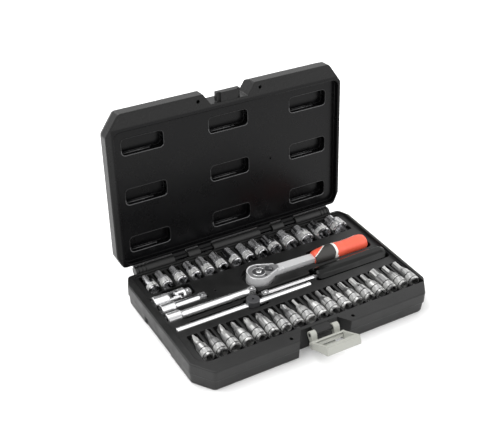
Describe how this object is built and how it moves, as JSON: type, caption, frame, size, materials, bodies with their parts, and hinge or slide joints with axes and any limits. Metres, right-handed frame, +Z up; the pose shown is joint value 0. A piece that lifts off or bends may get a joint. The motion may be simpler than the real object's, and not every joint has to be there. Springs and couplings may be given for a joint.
{
  "type": "socket wrench set in case",
  "caption": "Hinged plastic case with a moulded tray holding a quarter-inch ratchet, sockets, bit sockets, extension bars, a universal joint, a sliding T-bar and a spinner handle",
  "frame": {"origin": "centre of the case's flat underside, midway between the sides and between the front edge and the rim's back edge", "axes": "+X to the right along the latch side, +Y from the latch to the hinge, +Z up out of the tray"},
  "size_m": [0.275, 0.2443, 0.198],
  "materials": {
    "case_plastic": "blow-moulded polyethylene, fine matt grain",
    "lid_plastic": "blow-moulded polyethylene, smoother inner panel",
    "latch_plastic": "moulded, slightly satin",
    "steel_pin": "drawn wire",
    "satin_chrome": "satin chrome plate",
    "bit_chrome": "satin chrome plate, bare steel tips",
    "bright_chrome": "polished chrome plate",
    "dark_steel": "phosphated, matt",
    "ratchet_chrome": "satin chrome plate, polished rim",
    "red_plastic": "satin moulded",
    "black_rubber": "soft over-mould, fine grain",
    "white_plastic": "satin moulded",
    "black_plastic": "satin moulded"
  },
  "bodies": {
    "base": {"case_base": "case_plastic", "hinge_pin": "steel_pin"},
    "lid": {"case_lid": "lid_plastic"},
    "link": {"latch_link": "latch_plastic", "latch_pin": "steel_pin"},
    "latch": {"latch_lever": "latch_plastic"},
    "ratchet": {"ratchet_body": "ratchet_chrome", "ratchet_cover": "ratchet_chrome", "ratchet_cover_screws": "dark_steel", "ratchet_grip_core": "red_plastic", "ratchet_grip_sleeve": "black_rubber", "ratchet_grip_bands": "white_plastic"},
    "ratchet_drive": {"ratchet_gear": "ratchet_chrome"},
    "ratchet_button": {"ratchet_release_button": "bright_chrome"},
    "direction_lever": {"ratchet_direction_lever": "dark_steel"},
    "pawl": {"ratchet_pawl": "dark_steel"},
    "ujoint_socket": {"ujoint_socket_yoke": "bright_chrome"},
    "ujoint_middle": {"ujoint_cross": "dark_steel"},
    "ujoint_drive": {"ujoint_drive_yoke": "bright_chrome"},
    "tbar": {"tbar_rod": "bright_chrome"},
    "tbar_slider": {"tbar_head": "dark_steel"},
    "spinner": {"spinner_shaft": "bright_chrome", "spinner_grip": "black_plastic"},
    "long_extension": {"extension_long": "bright_chrome"},
    "short_extension": {"extension_short": "bright_chrome"},
    "tool_socket_01": {"socket_01": "satin_chrome"},
    "tool_socket_02": {"socket_02": "satin_chrome"},
    "tool_socket_03": {"socket_03": "satin_chrome"},
    "tool_socket_04": {"socket_04": "satin_chrome"},
    "tool_socket_05": {"socket_05": "satin_chrome"},
    "tool_socket_06": {"socket_06": "satin_chrome"},
    "tool_socket_07": {"socket_07": "satin_chrome"},
    "tool_socket_08": {"socket_08": "satin_chrome"},
    "tool_socket_09": {"socket_09": "satin_chrome"},
    "tool_socket_10": {"socket_10": "satin_chrome"},
    "tool_socket_11": {"socket_11": "satin_chrome"},
    "tool_socket_12": {"socket_12": "satin_chrome"},
    "tool_socket_13": {"socket_13": "satin_chrome"},
    "tool_socket_14": {"socket_14": "satin_chrome"},
    "tool_bit_socket_01": {"bit_socket_01": "bit_chrome"},
    "tool_bit_socket_02": {"bit_socket_02": "bit_chrome"},
    "tool_bit_socket_03": {"bit_socket_03": "bit_chrome"},
    "tool_bit_socket_04": {"bit_socket_04": "bit_chrome"},
    "tool_bit_socket_05": {"bit_socket_05": "bit_chrome"},
    "tool_bit_socket_06": {"bit_socket_06": "bit_chrome"},
    "tool_bit_socket_07": {"bit_socket_07": "bit_chrome"},
    "tool_bit_socket_08": {"bit_socket_08": "bit_chrome"},
    "tool_bit_socket_09": {"bit_socket_09": "bit_chrome"},
    "tool_bit_socket_10": {"bit_socket_10": "bit_chrome"},
    "tool_bit_socket_11": {"bit_socket_11": "bit_chrome"},
    "tool_bit_socket_12": {"bit_socket_12": "bit_chrome"},
    "tool_bit_socket_13": {"bit_socket_13": "bit_chrome"},
    "tool_bit_socket_14": {"bit_socket_14": "bit_chrome"},
    "tool_bit_socket_15": {"bit_socket_15": "bit_chrome"},
    "tool_bit_socket_16": {"bit_socket_16": "bit_chrome"},
    "tool_bit_socket_17": {"bit_socket_17": "bit_chrome"},
    "tool_bit_socket_18": {"bit_socket_18": "bit_chrome"}
  },
  "joints": [
    {"name": "lid_hinge", "type": "hinge", "parent": "base", "child": "lid", "pos_m": [0, 0.091, 0.0231], "axis": [-1, 0, 0], "range_deg": [-95.5, 0]},
    {"name": "latch_link_pivot", "type": "hinge", "parent": "base", "child": "link", "pos_m": [0, -0.0805, 0.0223], "axis": [1, 0, 0], "range_deg": [-91.1, 0]},
    {"name": "latch_lever_pivot", "type": "hinge", "parent": "link", "child": "latch", "pos_m": [0, -0.08909, 0.01663], "axis": [1, 0, 0], "range_deg": [0, 206.1]},
    {"name": "ratchet_lift", "type": "slide", "parent": "base", "child": "ratchet", "axis": [0, 0, 1], "range_m": [0, 0.05]},
    {"name": "ratchet_drive_turn", "type": "hinge", "parent": "ratchet", "child": "ratchet_drive", "pos_m": [-0.011, 0.024, 0.019], "axis": [0, 0, 1], "continuous": true},
    {"name": "direction_lever_flip", "type": "hinge", "parent": "ratchet", "child": "direction_lever", "pos_m": [-0.0005, 0.024, 0.028], "axis": [0, 0, 1], "range_deg": [0, 100]},
    {"name": "pawl_rock", "type": "hinge", "parent": "ratchet", "child": "pawl", "pos_m": [-0.0005, 0.024, 0.021], "axis": [0, 0, 1], "range_deg": [0, 40]},
    {"name": "release_button_press", "type": "slide", "parent": "ratchet_drive", "child": "ratchet_button", "axis": [0, 0, -1], "range_m": [0, 0.0015], "stiffness_N_per_m": 200, "springref_m": -0.001},
    {"name": "ujoint_lift", "type": "slide", "parent": "base", "child": "ujoint_socket", "axis": [0, 0, 1], "range_m": [0, 0.05]},
    {"name": "ujoint_tilt", "type": "hinge", "parent": "ujoint_socket", "child": "ujoint_middle", "pos_m": [-0.1, 0.0373, 0.0205], "axis": [0, -1, 0], "range_deg": [0, 42]},
    {"name": "ujoint_swing", "type": "hinge", "parent": "ujoint_middle", "child": "ujoint_drive", "pos_m": [-0.1, 0.0373, 0.0205], "axis": [0, 0, 1], "range_deg": [0, 12]},
    {"name": "tbar_lift", "type": "slide", "parent": "base", "child": "tbar", "axis": [0, 0, 1], "range_m": [0, 0.05]},
    {"name": "tbar_head_slide", "type": "slide", "parent": "tbar", "child": "tbar_slider", "axis": [1, 0, 0], "range_m": [-0.002, 0.009]},
    {"name": "spinner_lift", "type": "slide", "parent": "base", "child": "spinner", "axis": [0, 0, 1], "range_m": [0, 0.05]},
    {"name": "long_extension_lift", "type": "slide", "parent": "base", "child": "long_extension", "axis": [0, 0, 1], "range_m": [0, 0.05]},
    {"name": "short_extension_lift", "type": "slide", "parent": "base", "child": "short_extension", "axis": [0, 0, 1], "range_m": [0, 0.05]},
    {"name": "socket_01_lift", "type": "slide", "parent": "base", "child": "tool_socket_01", "axis": [0, 0, 1], "range_m": [0, 0.05]},
    {"name": "socket_02_lift", "type": "slide", "parent": "base", "child": "tool_socket_02", "axis": [0, 0, 1], "range_m": [0, 0.05]},
    {"name": "socket_03_lift", "type": "slide", "parent": "base", "child": "tool_socket_03", "axis": [0, 0, 1], "range_m": [0, 0.05]},
    {"name": "socket_04_lift", "type": "slide", "parent": "base", "child": "tool_socket_04", "axis": [0, 0, 1], "range_m": [0, 0.05]},
    {"name": "socket_05_lift", "type": "slide", "parent": "base", "child": "tool_socket_05", "axis": [0, 0, 1], "range_m": [0, 0.05]},
    {"name": "socket_06_lift", "type": "slide", "parent": "base", "child": "tool_socket_06", "axis": [0, 0, 1], "range_m": [0, 0.05]},
    {"name": "socket_07_lift", "type": "slide", "parent": "base", "child": "tool_socket_07", "axis": [0, 0, 1], "range_m": [0, 0.05]},
    {"name": "socket_08_lift", "type": "slide", "parent": "base", "child": "tool_socket_08", "axis": [0, 0, 1], "range_m": [0, 0.05]},
    {"name": "socket_09_lift", "type": "slide", "parent": "base", "child": "tool_socket_09", "axis": [0, 0, 1], "range_m": [0, 0.05]},
    {"name": "socket_10_lift", "type": "slide", "parent": "base", "child": "tool_socket_10", "axis": [0, 0, 1], "range_m": [0, 0.05]},
    {"name": "socket_11_lift", "type": "slide", "parent": "base", "child": "tool_socket_11", "axis": [0, 0, 1], "range_m": [0, 0.05]},
    {"name": "socket_12_lift", "type": "slide", "parent": "base", "child": "tool_socket_12", "axis": [0, 0, 1], "range_m": [0, 0.05]},
    {"name": "socket_13_lift", "type": "slide", "parent": "base", "child": "tool_socket_13", "axis": [0, 0, 1], "range_m": [0, 0.05]},
    {"name": "socket_14_lift", "type": "slide", "parent": "base", "child": "tool_socket_14", "axis": [0, 0, 1], "range_m": [0, 0.05]},
    {"name": "bit_socket_01_lift", "type": "slide", "parent": "base", "child": "tool_bit_socket_01", "axis": [0, 0, 1], "range_m": [0, 0.05]},
    {"name": "bit_socket_02_lift", "type": "slide", "parent": "base", "child": "tool_bit_socket_02", "axis": [0, 0, 1], "range_m": [0, 0.05]},
    {"name": "bit_socket_03_lift", "type": "slide", "parent": "base", "child": "tool_bit_socket_03", "axis": [0, 0, 1], "range_m": [0, 0.05]},
    {"name": "bit_socket_04_lift", "type": "slide", "parent": "base", "child": "tool_bit_socket_04", "axis": [0, 0, 1], "range_m": [0, 0.05]},
    {"name": "bit_socket_05_lift", "type": "slide", "parent": "base", "child": "tool_bit_socket_05", "axis": [0, 0, 1], "range_m": [0, 0.05]},
    {"name": "bit_socket_06_lift", "type": "slide", "parent": "base", "child": "tool_bit_socket_06", "axis": [0, 0, 1], "range_m": [0, 0.05]},
    {"name": "bit_socket_07_lift", "type": "slide", "parent": "base", "child": "tool_bit_socket_07", "axis": [0, 0, 1], "range_m": [0, 0.05]},
    {"name": "bit_socket_08_lift", "type": "slide", "parent": "base", "child": "tool_bit_socket_08", "axis": [0, 0, 1], "range_m": [0, 0.05]},
    {"name": "bit_socket_09_lift", "type": "slide", "parent": "base", "child": "tool_bit_socket_09", "axis": [0, 0, 1], "range_m": [0, 0.05]},
    {"name": "bit_socket_10_lift", "type": "slide", "parent": "base", "child": "tool_bit_socket_10", "axis": [0, 0, 1], "range_m": [0, 0.05]},
    {"name": "bit_socket_11_lift", "type": "slide", "parent": "base", "child": "tool_bit_socket_11", "axis": [0, 0, 1], "range_m": [0, 0.05]},
    {"name": "bit_socket_12_lift", "type": "slide", "parent": "base", "child": "tool_bit_socket_12", "axis": [0, 0, 1], "range_m": [0, 0.05]},
    {"name": "bit_socket_13_lift", "type": "slide", "parent": "base", "child": "tool_bit_socket_13", "axis": [0, 0, 1], "range_m": [0, 0.05]},
    {"name": "bit_socket_14_lift", "type": "slide", "parent": "base", "child": "tool_bit_socket_14", "axis": [0, 0, 1], "range_m": [0, 0.05]},
    {"name": "bit_socket_15_lift", "type": "slide", "parent": "base", "child": "tool_bit_socket_15", "axis": [0, 0, 1], "range_m": [0, 0.05]},
    {"name": "bit_socket_16_lift", "type": "slide", "parent": "base", "child": "tool_bit_socket_16", "axis": [0, 0, 1], "range_m": [0, 0.05]},
    {"name": "bit_socket_17_lift", "type": "slide", "parent": "base", "child": "tool_bit_socket_17", "axis": [0, 0, 1], "range_m": [0, 0.05]},
    {"name": "bit_socket_18_lift", "type": "slide", "parent": "base", "child": "tool_bit_socket_18", "axis": [0, 0, 1], "range_m": [0, 0.05]}
  ],
  "couplings": [
    {"joint": "latch_lever_pivot", "follows": "latch_link_pivot", "ratio": -2.2624},
    {"joint": "pawl_rock", "follows": "direction_lever_flip", "ratio": 0.4}
  ]
}
